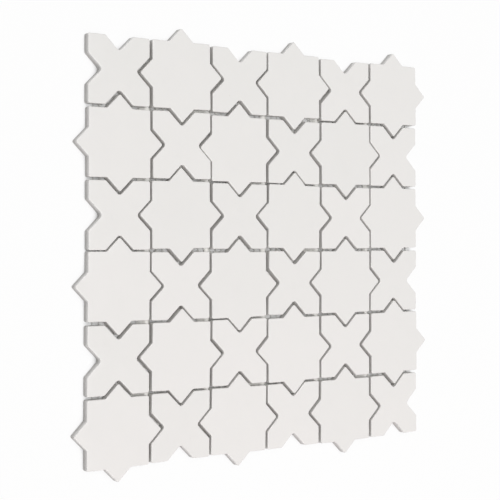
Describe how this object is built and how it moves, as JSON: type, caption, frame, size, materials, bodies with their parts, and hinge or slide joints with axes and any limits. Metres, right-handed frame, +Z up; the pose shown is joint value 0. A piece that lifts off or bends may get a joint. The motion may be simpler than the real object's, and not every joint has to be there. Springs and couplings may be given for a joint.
{
  "type": "star and cross mosaic tile sheet",
  "caption": "Mosaic sheet of white glazed star and cross tiles with open joints, bonded to a glass net; its edge points and notches interlock with the next sheet.",
  "frame": {"origin": "on the floor under the middle of the sheet", "axes": "+Z up out of the glazed faces, +X along the rows to the picture's right, +Y up the columns to the picture's top"},
  "size_m": [0.3171, 0.3175, 0.0065],
  "materials": {
    "glazed_porcelain": "satin white glaze on the face and its eased edge, bare pale body on the sides and back",
    "glass_net": "coated woven glass yarn, off-white"
  },
  "bodies": {
    "root": {"cross_tile_r1_c1": "glazed_porcelain", "star_tile_r1_c2": "glazed_porcelain", "cross_tile_r1_c3": "glazed_porcelain", "star_tile_r1_c4": "glazed_porcelain", "cross_tile_r1_c5": "glazed_porcelain", "star_tile_r1_c6": "glazed_porcelain", "star_tile_r2_c1": "glazed_porcelain", "cross_tile_r2_c2": "glazed_porcelain", "star_tile_r2_c3": "glazed_porcelain", "cross_tile_r2_c4": "glazed_porcelain", "star_tile_r2_c5": "glazed_porcelain", "cross_tile_r2_c6": "glazed_porcelain", "cross_tile_r3_c1": "glazed_porcelain", "star_tile_r3_c2": "glazed_porcelain", "cross_tile_r3_c3": "glazed_porcelain", "star_tile_r3_c4": "glazed_porcelain", "cross_tile_r3_c5": "glazed_porcelain", "star_tile_r3_c6": "glazed_porcelain", "star_tile_r4_c1": "glazed_porcelain", "cross_tile_r4_c2": "glazed_porcelain", "star_tile_r4_c3": "glazed_porcelain", "cross_tile_r4_c4": "glazed_porcelain", "star_tile_r4_c5": "glazed_porcelain", "cross_tile_r4_c6": "glazed_porcelain", "cross_tile_r5_c1": "glazed_porcelain", "star_tile_r5_c2": "glazed_porcelain", "cross_tile_r5_c3": "glazed_porcelain", "star_tile_r5_c4": "glazed_porcelain", "cross_tile_r5_c5": "glazed_porcelain", "star_tile_r5_c6": "glazed_porcelain", "star_tile_r6_c1": "glazed_porcelain", "cross_tile_r6_c2": "glazed_porcelain", "star_tile_r6_c3": "glazed_porcelain", "cross_tile_r6_c4": "glazed_porcelain", "star_tile_r6_c5": "glazed_porcelain", "cross_tile_r6_c6": "glazed_porcelain", "mesh_weft_threads": "glass_net", "mesh_warp_threads": "glass_net"}
  },
  "joints": []
}
